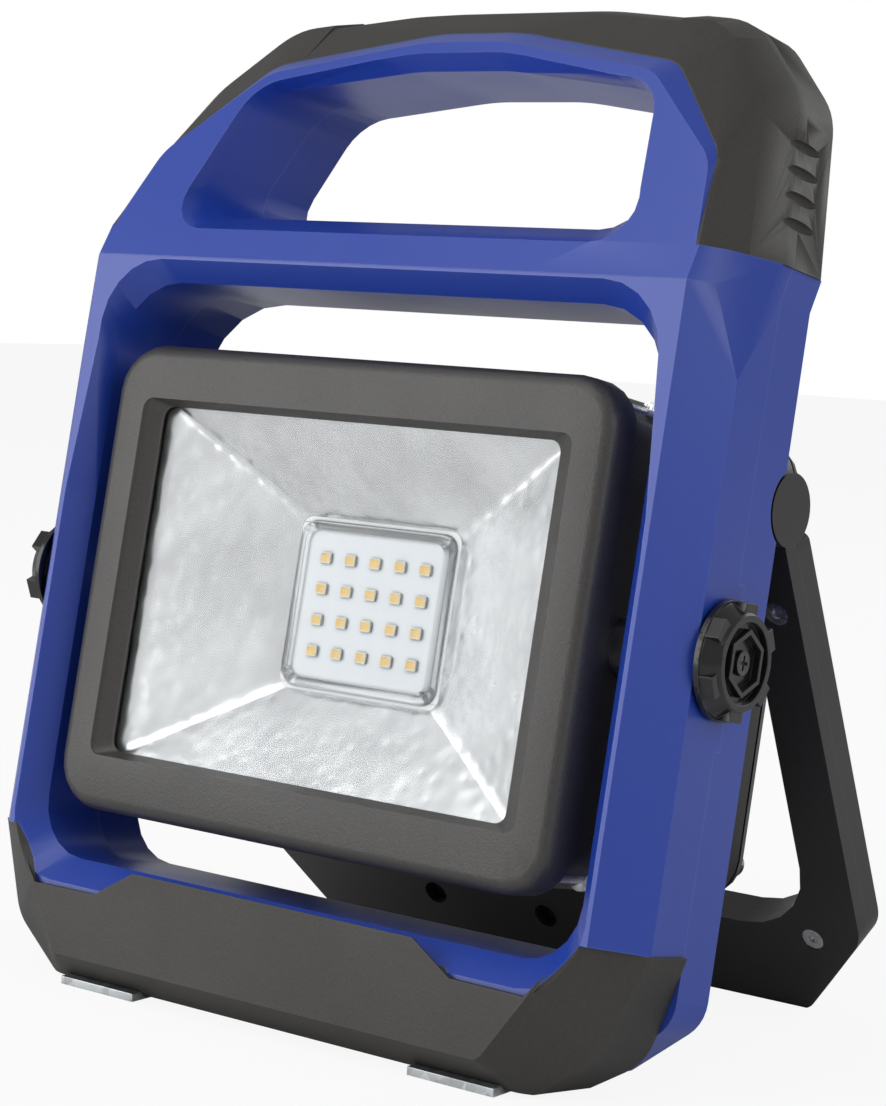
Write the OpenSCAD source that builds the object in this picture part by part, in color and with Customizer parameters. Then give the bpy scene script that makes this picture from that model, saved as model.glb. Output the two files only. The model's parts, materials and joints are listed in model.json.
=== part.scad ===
// LED work light: a floodlight head that tilts in a carry frame with a fold-out rear stand.
// Inside stand_up(), x runs to the right, y to the back and z up along the leaning frame,
// with zero at the middle of the lamp head's front face.

/* [Lamp head] */
// Width of the head over its bezel
head_w = 149; // [124:1:180]
// Height of the head over its bezel
head_h = 116; // [96:1:140]
// Corner radius of the bezel
head_corner = 12; // [6:0.5:18]
// Depth of the bezel from its front face
bezel_depth = 9.5; // [8:0.5:12]
// Width of the bezel's border at the left and right
border_side = 10.5; // [8:0.5:14]
// Width of the bezel's border at the top and bottom
border_top = 13.7; // [10:0.1:18]
// Depth of the whole head
head_depth = 95; // [84:1:115]
// Wall of the cast housing
housing_wall = 2.5; // [2:0.1:4]
// Depth of one row of cooling slots in the housing's top and bottom
fin_slot = 3; // [2:0.5:4]

/* [Light source] */
// Number of LEDs in one row
led_cols = 5; // [3:1:6]
// Number of rows of LEDs
led_rows = 4; // [2:1:5]
// Distance between neighbouring LEDs
led_pitch = 7.56; // [6.5:0.1:8]
// Thickness of the front glass
glass_t = 3; // [2:0.5:4]

/* [Tilt pivot] */
// Distance of the tilt axis behind the bezel's face
tilt_y = 21; // [19:0.5:23]
// Outer radius of each trunnion
trunnion_r = 5; // [4:0.5:5]
// Outer radius of a side knob at its base
knob_r = 13.5; // [11:0.5:16]
// Height of a side knob
knob_h = 5.4; // [5:0.1:8]

/* [Carry frame] */
// Gap between the head and the frame at each side
side_gap = 6.5; // [5:0.5:10]
// Gap above the head
top_gap = 16.5; // [13:0.5:22]
// Gap below the head
bottom_gap = 13; // [11:0.5:20]
// Width of each side member
side_bar = 16.5; // [15.5:0.5:21]
// Height of the bottom member
bottom_bar = 29; // [26:0.5:36]
// Depth of the frame
frame_depth = 38; // [36:0.5:44]
// Distance of the seam between the two shells behind the front face
seam_y = 23.5; // [22:0.5:25]
// Wall of the shells
shell_wall = 2.5; // [2:0.1:3.5]

/* [Handle] */
// Angle by which the handle leans back from the frame
handle_lean = 21; // [12:1:26]
// Height of the opening for the hand
handle_open_h = 41; // [36:0.5:52]
// Height of the handle bar over the opening
handle_bar = 22; // [18:0.5:28]
// Thickness of the grip's rubber at the corners
cap_t = 3; // [2.5:0.1:4]
// Thickness of the grip's rubber along the middle
band_t = 2; // [1.5:0.1:2.5]

/* [Stand] */
// Angle between the open stand and the frame
stand_angle = 36; // [25:0.5:45]
// Height of the stand's pivot above the tilt axis
stand_pivot_z = 36; // [30:0.5:45]
// Radius of the stand's pivot boss
stand_boss_r = 8.5; // [7:0.5:10]
// Width of each stand arm
stand_arm_w = 13.5; // [12:0.5:14]
// Height of the stand's bottom bar
stand_bar = 24.5; // [22:0.5:30]
// Thickness of the stand's front plate
stand_plate_t = 4.5; // [3:0.5:6]
// Thickness of the stand's rear shell
stand_shell_t = 10; // [8:0.5:14]

/* [Standing] */
// Angle by which the frame leans back when it stands on its open stand
lean = 10; // [5:0.1:16]

/* [Hidden] */
$fn = 48;
// Steps in each rounded corner of an outline
steps = 5;
// Overshoot of a cutting solid past the face it cuts
eps = 1;
// Gap between two pieces that move past each other
gap = 0.3;
// Radial clearance of a shaft that turns in its bore
running = 0.05;
// Overlap of the frame and the handle where they bend
bend_lap = 0.1;
// Half size of a solid that stands for one side of a plane
far = 400;

blue = [0.16, 0.27, 0.63];
rubber = [0.17, 0.165, 0.16];
charcoal = [0.27, 0.26, 0.255];
black = [0.07, 0.07, 0.075];
steel = [0.72, 0.72, 0.74];

// ---- Heights and widths that follow from the sizes above ----
open_w = head_w / 2 + side_gap;
side_w = open_w + side_bar;
open_top = head_h / 2 + top_gap;
open_bottom = -head_h / 2 - bottom_gap;
frame_bottom = open_bottom - bottom_bar;
bend_z = open_top + 5.5;
hand_bottom = bend_z + 12;
hand_top = hand_bottom + handle_open_h;
handle_top = hand_top + handle_bar;
grip_z = bend_z + 8;
// Depth and width of the chamfer between the front face and the side faces
chamfer_y = 10;
chamfer_w = 10.2;
// Angles of the flat that narrows the sides below the grip
shoulder_fall = 8.4;
shoulder_turn = 23.2;
// Depth at which the inner bevel of an opening ends
rim_y = 6;
hand_rim_y = 5;
// How far a point of the handle lies back for each millimetre above the bend
handle_slope = tan(handle_lean);
// The same for the front edge of the grip, which falls back towards the top
edge_slope = handle_slope + 0.09;
bumper_t = 1.5;
foot_t = 2;
// A point on the floor, below the front of the foot pads
foot_y = 5;
floor_z = frame_bottom - foot_t;

// ---- Outlines ----
function unit(v) = v / norm(v);
// Arc that rounds corner b of the path a, b, c with radius r
function fillet(a, b, c, r) =
    let (u = unit(a - b), v = unit(c - b), half = acos(u * v) / 2)
    let (m = b + unit(u + v) * r / sin(half), s = b + u * r / tan(half), e = b + v * r / tan(half))
    let (a0 = atan2(s.y - m.y, s.x - m.x), a1 = atan2(e.y - m.y, e.x - m.x))
    let (sweep = (a1 - a0 + 540) % 360 - 180)
    [for (i = [0:steps]) m + r * [cos(a0 + sweep * i / steps), sin(a0 + sweep * i / steps)]];
function flat(p) = [p.x, p.y];
// Points of an outline given as corners [x, y, radius], anticlockwise
function rounded(c) = let (n = len(c))
    [for (i = [0:n - 1]) each fillet(flat(c[(i + n - 1) % n]), flat(c[i]), flat(c[(i + 1) % n]), c[i].z)];
// The same corners moved outwards by d
function grown(c, d) = let (n = len(c))
    [for (i = [0:n - 1])
        let (p = flat(c[i]), u = unit(flat(c[(i + n - 1) % n]) - p), v = unit(flat(c[(i + 1) % n]) - p))
        let (half = acos(u * v) / 2, turn = cross(-u, v) > 0 ? 1 : -1)
        let (q = p - turn * unit(u + v) * d / sin(half))
        [q.x, q.y, max(0.5, c[i].z + turn * d)]];
// A right half given from the bottom up, with its mirror image
function both(half) = concat(half, [for (i = [len(half) - 1:-1:0]) [-half[i].x, half[i].y, half[i].z]]);
function box_corners(hw, hh, r) = both([[hw, -hh, r], [hw, hh, r]]);

// Solid through outlines at rising depths: rings is a list of [depth, corners, slope],
// and a ring with a slope lies further back the higher it is above the bend
module loft(rings) {
    outlines = [for (r = rings) rounded(r[1])];
    n = len(outlines[0]);
    last = len(rings) - 1;
    slopes = [for (r = rings) len(r) > 2 ? r[2] : 0];
    points = [for (k = [0:last]) for (p = outlines[k]) [p.x, rings[k][0] + slopes[k] * (p.y - bend_z), p.y]];
    sides = [for (k = [0:last - 1]) for (i = [0:n - 1])
        let (j = (i + 1) % n)
        each [[k * n + i, k * n + j, (k + 1) * n + j], [k * n + i, (k + 1) * n + j, (k + 1) * n + i]]];
    polyhedron(points, concat([[for (i = [n - 1:-1:0]) i]], sides, [[for (i = [0:n - 1]) last * n + i]]));
}
// Plate of an outline between two depths
module slab(corners, y0, y1) {
    translate([0, y1, 0]) rotate([90, 0, 0]) linear_extrude(y1 - y0) polygon(rounded(corners));
}
module rod_y(x, z, r, y0, y1) {
    translate([x, y1, z]) rotate([90, 0, 0]) cylinder(h = y1 - y0, r = r);
}
module rod_x(x0, x1, y, z, r, r_end = 0) {
    translate([x0, y, z]) rotate([0, 90, 0]) cylinder(h = x1 - x0, r1 = r, r2 = r_end > 0 ? r_end : r);
}
module block(x0, x1, y0, y1, z0, z1) {
    translate([x0, y0, z0]) cube([x1 - x0, y1 - y0, z1 - z0]);
}
module left_and_right() {
    children();
    mirror([1, 0, 0]) children();
}

// ---- Places ----
// The frame leans back, and the floor is z = 0 under its foot pads
floor_drop = foot_y * sin(lean) - floor_z * cos(lean);
stand_pivot_y = frame_depth + gap + 3.5;
pivot_height = floor_drop - stand_pivot_y * sin(lean) + stand_pivot_z * cos(lean);
// Angle between the open stand and a plumb line
stand_tilt = stand_angle - lean;
stand_front = frame_depth + gap - stand_pivot_y;
stand_len = (pivot_height + stand_front * sin(stand_tilt)) / cos(stand_tilt) + 0.6;
stand_back = stand_front + stand_plate_t + stand_shell_t;
pivot_back = stand_pivot_y * cos(lean) + stand_pivot_z * sin(lean);
// Depth of the rear bevel of the stand, and how far it comes in
stand_bevel_y = 4;
stand_bevel_in = 5;
back_y = pivot_back + (stand_len - stand_bevel_in) * sin(stand_tilt) + stand_back * cos(stand_tilt);
front_y = -bumper_t * cos(lean) + (frame_bottom + 6) * sin(lean);
centre_y = (back_y + front_y) / 2;

module stand_up() {
    translate([0, -centre_y, floor_drop]) rotate([-lean, 0, 0]) children();
}
// The part of its children that is more than h above the floor
module above_floor(h) {
    intersection() {
        children();
        translate([0, foot_y, floor_z]) rotate([lean, 0, 0]) block(-far, far, -far, far, h, 2 * far);
    }
}
// The parts of space below and above the line where the frame bends back into the handle
module below_bend() {
    block(-far, far, -far, far, -far, bend_z + bend_lap);
}
module above_bend() {
    block(-far, far, -far, far, bend_z - bend_lap, far);
}
// Everything in front of the seam in the handle
module handle_front() {
    translate([0, seam_y, bend_z]) rotate([-handle_lean, 0, 0]) block(-far, far, -far, 0, -far, far);
}
// Places its children, drawn with x across, y as depth behind the pivot and z up the leg
module on_stand() {
    translate([0, stand_pivot_y, stand_pivot_z]) rotate([stand_angle, 0, 0]) children();
}

// ---- Carry frame: outlines ----
face = both([
    [side_w - 34, frame_bottom + 4, 6], [side_w - chamfer_w, open_bottom + 3, 10],
    [side_w - chamfer_w, handle_top, 5]
]);
side = both([
    [side_w - 22, frame_bottom + 2, 6], [side_w, frame_bottom + 20, 10], [side_w, handle_top, 5]
]);
open_face = both([[open_w + 6, open_bottom - 7, 16], [open_w + 6, 20, 60], [open_w + 1, bend_z, 17]]);
open_rim = both([[open_w, open_bottom, 14], [open_w + 0.2, 20, 60], [open_w, open_top, 18]]);
open_back = both([
    [open_w - 1.5, open_bottom, 14], [open_w - 1.3, 20, 60], [open_w - 1.5, open_top + 1, 24]
]);
hand_face = both([[open_w - 11, hand_bottom - 5, 9], [open_w - 20.5, hand_top - 4.5, 12], [14, hand_top + 4.5, 60]]);
hand_rim = both([[open_w - 11.5, hand_bottom, 10], [open_w - 21.5, hand_top - 6, 12], [14, hand_top, 60]]);
hand_back = both([[open_w - 18.5, hand_bottom + 1, 10], [open_w - 26.5, hand_top - 5, 12], [14, hand_top + 1, 60]]);
// Outlines of the handle: front ridge, front edge of the grip, outside of the grip, and the shell below it
grip_foot = grip_z - 4;
// Depth of the shell's rear face inside the grip, a little in front of the bare shell's
handle_back = frame_depth - 0.4;
// How far the grip's outside comes in from the seam to its front crease
grip_taper = 3.5;
ridge = both([
    [side_w - chamfer_w, grip_foot, 1], [side_w - 16, hand_top - 24, 12],
    [side_w - 40, hand_top - 1.5, 12], [12, hand_top + 6.6, 60]
]);
grip_edge = both([
    [side_w - 9, grip_foot, 1], [side_w - 15.5, hand_top - 21, 12],
    [side_w - 36.5, hand_top + 2.5, 12], [12, hand_top + 11.3, 60]
]);
grip_side = both([
    [side_w + 1.5, grip_foot, 1], [side_w - 11.5, hand_top - 3, 24],
    [side_w - 31.5, handle_top - 4.5, 20], [25, handle_top, 100]
]);
grip_crease = grown(grip_side, -grip_taper);
under_grip = grown(grip_side, -cap_t);
// Outlines of the bumper: front face, crease and edge at the seam
bumper_face = both([
    [side_w - 33, frame_bottom + 6, 3], [side_w - 22.5, frame_bottom + 22, 12],
    [side_w - 11.5, open_bottom + 12, 3]
]);
bumper_crease = both([
    [side_w - 25.5, frame_bottom - 1, 8], [side_w - 9, frame_bottom + 11.5, 14],
    [side_w + 3, open_bottom + 12, 3]
]);
bumper_seam = both([
    [side_w - 25.5, frame_bottom - 2, 8], [side_w - 5.5, frame_bottom + 10.5, 14],
    [side_w + 2.7, open_bottom + 12, 3]
]);
// Top edge of the bumper from the middle outwards
bumper_edge = [
    [open_w - 38.5, open_bottom], [open_w - 27, open_bottom - 7], [side_w - 23.5, open_bottom - 7.2],
    [side_w - 12.5, open_bottom + 6], [side_w + 10, open_bottom + 5.5]
];

module opening(face_ring, rim_ring, back_ring, depth, slope) {
    loft([[-eps, face_ring, slope], [depth, rim_ring, slope], [frame_depth + eps, back_ring, slope]]);
}
module body_plain(slope) {
    difference() {
        loft([
            [0, face, slope], [chamfer_y, side, slope],
            [frame_depth - eps, side, slope], [frame_depth, grown(side, -eps), slope]
        ]);
        left_and_right() shoulder_cut();
    }
}
// Everything outside the flat that narrows each side's front edge below the grip
module shoulder_cut() {
    translate([side_w, chamfer_y, bend_z - 20]) rotate([0, -shoulder_fall, -shoulder_turn])
        block(0, far, -far, far, -far, far);
}
// The handle's body: a ridge at the front, and a recess that the grip fills
module body_gripped() {
    loft([
        [0, ridge, handle_slope], [0, grip_edge, edge_slope],
        [chamfer_y + 1.5, grown(grip_crease, -cap_t), handle_slope], [seam_y - 3, under_grip, handle_slope],
        [handle_back - eps, under_grip, handle_slope], [handle_back, grown(under_grip, -eps), handle_slope]
    ]);
}
module body_bumpered() {
    loft([
        [1, grown(bumper_face, -bumper_t)], [chamfer_y + 1, grown(bumper_crease, -bumper_t - 1)],
        [seam_y, grown(bumper_seam, -bumper_t - 1)], [seam_y + eps, grown(bumper_seam, -bumper_t - 1)]
    ]);
}
module bumper_zone() {
    edge = [for (i = [len(bumper_edge) - 1:-1:0]) [-bumper_edge[i].x, bumper_edge[i].y]];
    translate([0, seam_y, 0]) rotate([90, 0, 0]) linear_extrude(seam_y + far)
        polygon(concat([[-side_w - 9, frame_bottom - far]], edge, bumper_edge, [[side_w + 9, frame_bottom - far]]));
}
module frame_lower_solid() {
    difference() {
        body_plain(0);
        bumper_zone();
    }
    intersection() {
        body_bumpered();
        bumper_zone();
    }
}
module frame_outer() {
    intersection() {
        above_floor(foot_t + 0.5) frame_lower_solid();
        below_bend();
    }
    intersection() {
        body_plain(handle_slope);
        block(-far, far, -far, far, bend_z - bend_lap, grip_z + bend_lap);
    }
    intersection() {
        body_gripped();
        block(-far, far, -far, far, grip_z, far);
    }
}
module main_opening() {
    opening(open_face, open_rim, open_back, rim_y, 0);
}
module hand_opening() {
    opening(hand_face, hand_rim, hand_back, hand_rim_y, handle_slope);
}
// Hollow between the two shells
module frame_cavity() {
    y0 = chamfer_y + 1;
    difference() {
        union() {
            above_floor(foot_t + 0.5 + shell_wall) intersection() {
                slab(grown(side, -shell_wall - 2), y0, frame_depth - shell_wall);
                block(-far, far, -far, far, -far, bend_z - 6);
            }
            intersection() {
                loft([
                    [chamfer_y + 3, grown(under_grip, -shell_wall), handle_slope],
                    [frame_depth - shell_wall, grown(under_grip, -shell_wall), handle_slope]
                ]);
                block(-far, far, -far, far, hand_bottom + 4, far);
            }
        }
        slab(grown(open_rim, shell_wall), 0, frame_depth);
        loft([[0, grown(hand_rim, shell_wall), handle_slope], [frame_depth, grown(hand_rim, shell_wall), handle_slope]]);
        left_and_right() {
            rod_x(open_w - 4, side_w, tilt_y, 0, bush_r + shell_wall);
            rod_x(open_w - 4, side_w, stand_pivot_y, stand_pivot_z, stand_boss_r + 1 + shell_wall);
            for (p = screw_places) rod_y(p.x, p.y, screw_boss_r, 0, frame_depth);
        }
    }
}
bush_r = trunnion_r + 2;
washer_t = 0.6;
// Screws that join the two shells, in the frame's right half
screw_boss_r = 3.6;
screw_r = 1.5;
screw_head_r = 3.2;
bar_mid = (open_w + side_w) / 2 + 1;
screw_places = [
    [bar_mid, open_top - 14], [bar_mid, open_bottom + 22], [side_w * 0.42, open_bottom - 13]
];
module screw(x, z, y0, y1) {
    rod_y(x, z, screw_r - running, y0, y1);
    difference() {
        rod_y(x, z, screw_head_r, y1, y1 + 2);
        rod_y(x, z, 1.2, y1 + 0.8, y1 + 2 + eps);
    }
}

// The side of the seam that the front shell is on: it steps back around the tilt bushes
module front_side() {
    block(-far, far, -far, seam_y, -far, far);
    left_and_right() block(open_w - 3, side_w + eps, -far, seam_y + 2.5, -20, 17);
}
// Notch in the rear edge of each side, in which the stand's boss turns
module stand_notches() {
    left_and_right() {
        rod_x(lug_x1, side_w + eps, stand_pivot_y, stand_pivot_z, stand_boss_r + 0.8);
    }
}
lug_x0 = open_w - 1.5;
lug_x1 = open_w + 4.2;
lug_r = 7;
pin_r = 2.5;
washer_x = 0.6;

module frame_solid() {
    difference() {
        frame_outer();
        main_opening();
        hand_opening();
        frame_cavity();
        stand_notches();
        left_and_right() rod_x(open_w - 6, side_w + eps, tilt_y, 0, bush_r);
        left_and_right() rod_x(open_w - 6, side_w, stand_pivot_y, stand_pivot_z, pin_r);
    }
}

module frame_front_shell() {
    color(blue) stand_up() difference() {
        intersection() {
            frame_solid();
            union() {
                intersection() {
                    front_side();
                    below_bend();
                }
                intersection() {
                    handle_front();
                    above_bend();
                }
            }
        }
        left_and_right() for (p = screw_places) rod_y(p.x, p.y, screw_r, chamfer_y + 3, frame_depth);
    }
}

module frame_rear_shell() {
    color(blue) stand_up() difference() {
        union() {
            difference() {
                frame_solid();
                intersection() {
                    front_side();
                    below_bend();
                }
                intersection() {
                    handle_front();
                    above_bend();
                }
            }
            left_and_right() difference() {
                union() {
                    rod_x(lug_x0, lug_x1, stand_pivot_y, stand_pivot_z, lug_r);
                    block(lug_x0, lug_x1, seam_y + 6, stand_pivot_y, stand_pivot_z - lug_r, stand_pivot_z + lug_r);
                }
                rod_x(lug_x0 - eps, lug_x1 + eps, stand_pivot_y, stand_pivot_z, pin_r);
            }
        }
        left_and_right() for (p = screw_places) {
            rod_y(p.x, p.y, screw_r, seam_y - eps, frame_depth);
            rod_y(p.x, p.y, screw_head_r + 0.1, frame_depth - 3, frame_depth + eps);
        }
    }
}

// Half width of the thin middle band of the grip
cap_x = open_w - 28.5;
module grip_loft(outline) {
    loft([
        [-0.8, grown(grip_edge, -0.4), edge_slope], [chamfer_y, grown(outline, -grip_taper), handle_slope],
        [seam_y - 4, outline, handle_slope], [frame_depth - 2, outline, handle_slope], [frame_depth - 0.5, grown(outline, -1.2), handle_slope]
    ]);
}
module grip() {
    difference() {
        union() {
            intersection() {
                grip_loft(grip_side);
                left_and_right() block(cap_x, far, -far, far, grip_z + bend_lap, far);
            }
            intersection() {
                grip_loft(grown(grip_side, band_t - cap_t));
                block(-cap_x - 0.5, cap_x + 0.5, -far, far, hand_top, far);
            }
        }
        body_gripped();
        loft([[-far, ridge, handle_slope], [5, ridge, handle_slope]]);
    }
}
module grip_front_half() {
    color(rubber) stand_up() intersection() {
        grip();
        handle_front();
    }
}
module grip_rear_half() {
    color(rubber) stand_up() difference() {
        grip();
        handle_front();
    }
}

module bottom_bumper() {
    color(rubber) stand_up() above_floor(1) difference() {
        intersection() {
            loft([[-bumper_t, bumper_face], [chamfer_y, bumper_crease], [seam_y, bumper_seam]]);
            bumper_zone();
        }
        body_bumpered();
        slab(open_rim, -far, far);
        main_opening();
        foot_pad_places(0);
    }
}
// Half widths between which each foot pad lies
pad_x = [side_w - 55.5, side_w - 31.5];
module foot_pad_places(h) {
    left_and_right() translate([0, foot_y, floor_z]) rotate([lean, 0, 0])
        block(pad_x[0], pad_x[1], 0, 15, h, foot_t);
}
module foot_pads() {
    color(steel) stand_up() foot_pad_places(0);
}

module shell_screws() {
    color(steel) stand_up() left_and_right()
        for (p = screw_places) screw(p.x, p.y, chamfer_y + 5, frame_depth - 3);
}

module tilt_bushes() {
    color([0.85, 0.85, 0.82]) stand_up() left_and_right() difference() {
        union() {
            rod_x(open_w - 1.5, side_w, tilt_y, 0, bush_r);
            rod_x(open_w - 3.2, open_w - 1.5, tilt_y, 0, bush_r + 1);
        }
        rod_x(open_w - 5, side_w + eps, tilt_y, 0, trunnion_r + running);
    }
}

module knob_washers() {
    color(steel) stand_up() left_and_right() difference() {
        rod_x(side_w, side_w + washer_t, tilt_y, 0, knob_r - 3);
        rod_x(side_w - eps, side_w + 2, tilt_y, 0, stud_r + running);
    }
}

module stand_pivot_pins() {
    color(steel) stand_up() left_and_right() {
        rod_x(lug_x0 - 2, lug_x0, stand_pivot_y, stand_pivot_z, pin_r + 1.8);
        rod_x(lug_x0, side_w - 3, stand_pivot_y, stand_pivot_z, pin_r);
    }
}

module stand_friction_washers() {
    color([0.2, 0.2, 0.2]) stand_up() left_and_right() difference() {
        rod_x(lug_x1, lug_x1 + washer_x, stand_pivot_y, stand_pivot_z, lug_r - 1);
        rod_x(lug_x1 - eps, lug_x1 + 2, stand_pivot_y, stand_pivot_z, pin_r + 0.01);
    }
}

// ---- Lamp head ----
window_w = head_w / 2 - border_side;
window_h = head_h / 2 - border_top;
lip_y = 3;
pane_w = window_w - 0.5;
pane_h = window_h + 2.2;
seal_t = 0.6;
pane_y = lip_y + seal_t;
flange_y = pane_y + glass_t;
sheet = 0.8;
board_y = 20.5;
board_t = 1.6;
board_w = led_pitch * (led_cols - 1) / 2 + 19;
board_h = led_pitch * (led_rows - 1) / 2 + 12.7;
light_w = led_pitch * (led_cols - 1) / 2 + 8.9;
light_h = led_pitch * (led_rows - 1) / 2 + 9.7;
floor_y = board_y + board_t;
floor_t = 4;
cover_y = head_depth - 9;
gasket_t = 0.8;
case_w = head_w / 2 - 2;
case_h = head_h / 2 - 2;
case_corner = head_corner - 2;
top_wall = housing_wall + fin_slot;
collar_w = pane_w + 1.7;
collar_h = pane_h + 1.7;
case_screw = [case_w - 6.5, case_h - 8];

module front_bezel() {
    outer = box_corners(head_w / 2, head_h / 2, head_corner);
    color(charcoal) stand_up() difference() {
        loft([[0, grown(outer, -3.5)], [0.9, grown(outer, -1.4)], [3.2, outer], [bezel_depth, outer]]);
        loft([
            [-eps, box_corners(window_w + 0.6, window_h + 0.6, 3)], [0.6, box_corners(window_w, window_h, 3)],
            [lip_y, box_corners(pane_w - 4, pane_h - 3.5, 3)], [lip_y + 0.1, box_corners(pane_w - 4, pane_h - 3.5, 3)]
        ]);
        slab(box_corners(collar_w + 0.2, collar_h + 0.2, 5), lip_y, bezel_depth + eps);
        bezel_screw_places(4.5, bezel_depth + eps, screw_r);
    }
}
module bezel_screw_places(y0, y1, r) {
    left_and_right() for (s = [-1, 1]) rod_y(head_w / 2 - 5.6, s * (head_h / 2 - 5.6), r, y0, y1);
}

module head_housing() {
    inner_h = case_h - top_wall;
    color([0.2, 0.2, 0.2]) stand_up() difference() {
        union() {
            slab(box_corners(case_w, case_h, case_corner), bezel_depth, cover_y - gasket_t);
            slab(box_corners(collar_w, collar_h, 5), flange_y + sheet, bezel_depth + eps);
        }
        // Front chamber for the reflector
        slab(box_corners(collar_w - 3, collar_h - 3, 4), flange_y, floor_y);
        slab(box_corners(case_w - housing_wall - 6, case_h - 9, 5), bezel_depth + 4, floor_y);
        // Rear chamber for the battery and driver
        difference() {
            slab(box_corners(case_w - housing_wall, inner_h, 6), floor_y + floor_t, head_depth);
            left_and_right() for (s = [-1, 1])
                rod_y(case_screw.x, s * (inner_h - 3), screw_boss_r + 0.6, floor_y + floor_t, head_depth);
        }
        // Slots between the cooling fins
        for (i = [-9:9]) for (s = [-1, 1])
            block(i * 6 - 1.6, i * 6 + 1.6, floor_y + 6, cover_y - 14,
                s > 0 ? case_h - fin_slot : -case_h - eps, s > 0 ? case_h + eps : -case_h + fin_slot);
        left_and_right() rod_x(case_w - 9, case_w + eps, tilt_y, 0, trunnion_r);
        bezel_screw_places(bezel_depth - eps, floor_y + floor_t + eps, screw_r);
        bezel_screw_places(floor_y, floor_y + floor_t + eps, screw_head_r + 0.1);
        left_and_right() for (s = [-1, 1])
            rod_y(case_screw.x, s * (inner_h - 3), screw_r, cover_y - 16, head_depth);
    }
}
module bezel_screws() {
    color(steel) stand_up() {
        bezel_screw_places(5, floor_y, screw_r - running);
        bezel_screw_places(floor_y, floor_y + 2, screw_head_r);
    }
}
module head_trunnions() {
    color(steel) stand_up() left_and_right() difference() {
        union() {
            rod_x(case_w - 9, side_w - 1.5, tilt_y, 0, trunnion_r);
            rod_x(case_w, open_w - 3.3, tilt_y, 0, trunnion_r + 2);
        }
        rod_x(case_w - 7, side_w, tilt_y, 0, stud_r + running);
    }
}
stud_r = 3;

module rear_cover() {
    outer = box_corners(case_w, case_h, case_corner);
    inner = box_corners(case_w - 9, case_h - 9, 4);
    color(black) stand_up() difference() {
        union() {
            difference() {
                loft([
                    [cover_y, outer], [cover_y + 2.5, grown(outer, -0.6)],
                    [head_depth - 2, grown(outer, -4)], [head_depth, grown(outer, -9)]
                ]);
                slab(inner, cover_y - eps, head_depth - 2.5);
            }
            left_and_right() rod_y(board_post_x, button_z, 2.5, control_y + board_t, head_depth - 2);
            translate([port.x, 0, 0]) left_and_right()
                block(4.6, 7, head_depth - eps, hinge_y + 1.8, hinge_z - 1.8, hinge_z + 1.8);
        }
        rod_y(0, button_z, button_r + gap, head_depth - 4, head_depth + eps);
        rod_y(port.x, port.y, 4.5, head_depth - 4, head_depth + eps);
        rod_x(port.x - 8, port.x + 8, hinge_y, hinge_z, hinge_r);
        cover_screw_places(cover_y - eps, head_depth + eps, screw_r);
        cover_screw_places(head_depth - 2.4, head_depth + eps, screw_head_r + 0.1);
    }
}
module cover_screw_places(y0, y1, r) {
    left_and_right() for (s = [-1, 1]) rod_y(case_screw.x, s * (case_h - top_wall - 3), r, y0, y1);
}
module rear_cover_gasket() {
    color([0.1, 0.1, 0.1]) stand_up() difference() {
        slab(box_corners(case_w - 1, case_h - 1, case_corner - 1), cover_y - gasket_t, cover_y);
        slab(box_corners(case_w - housing_wall - 8, case_h - top_wall - 8, 4), 0, head_depth);
        cover_screw_places(0, head_depth, screw_r + 0.3);
    }
}
module rear_cover_screws() {
    color(steel) stand_up() {
        cover_screw_places(cover_y - 12, head_depth - 2.4, screw_r - running);
        difference() {
            cover_screw_places(head_depth - 2.4, head_depth - 0.6, screw_head_r);
            cover_screw_places(head_depth - 1.4, head_depth, 1.2);
        }
    }
}
// Control button, charging port and the port's hinge
button_r = 8;
button_z = 24;
button_travel = 1.5;
board_post_x = 17;
control_y = head_depth - 13;
port = [34, -26];
hinge_y = head_depth + 2.2;
hinge_z = port.y + 9.5;
hinge_r = 0.8;

module power_button() {
    color([0.75, 0.12, 0.1]) stand_up() {
        rod_y(0, button_z, button_r, head_depth - 4, head_depth + 1.8);
        rod_y(0, button_z, button_r + 1.6, head_depth - 4.6, head_depth - 2.5 - gap);
    }
}
module power_switch() {
    color([0.1, 0.1, 0.1]) stand_up() {
        block(-6, 6, control_y + board_t, control_y + 5, button_z - 6, button_z + 6);
        rod_y(0, button_z, 2, control_y + 5, head_depth - 4.6 - button_travel - gap);
    }
}
module control_board() {
    color([0.05, 0.3, 0.15]) stand_up() block(-21, 21, control_y, control_y + board_t, button_z - 9, button_z + 9);
}
module charge_socket() {
    color([0.15, 0.15, 0.15]) stand_up() difference() {
        rod_y(port.x, port.y, 6.5, control_y, head_depth - 2.5);
        rod_y(port.x, port.y, 3.2, control_y + 3, head_depth);
    }
}
module charge_port_cover() {
    y0 = head_depth + gap;
    color(rubber) stand_up() difference() {
        union() {
            block(port.x - 7.5, port.x + 7.5, y0, y0 + 2, port.y - 8, hinge_z - 3.2);
            block(port.x - 4.2, port.x + 4.2, y0, y0 + 2, hinge_z - 4, hinge_z);
            rod_x(port.x - 4.2, port.x + 4.2, hinge_y, hinge_z, 1.8);
            rod_y(port.x, port.y, 4, head_depth - 2, y0 + eps);
        }
        rod_x(port.x - 5, port.x + 5, hinge_y, hinge_z, hinge_r + running);
    }
}
module charge_port_pin() {
    color(steel) stand_up() rod_x(port.x - 6.8, port.x + 6.8, hinge_y, hinge_z, hinge_r);
}

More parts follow.
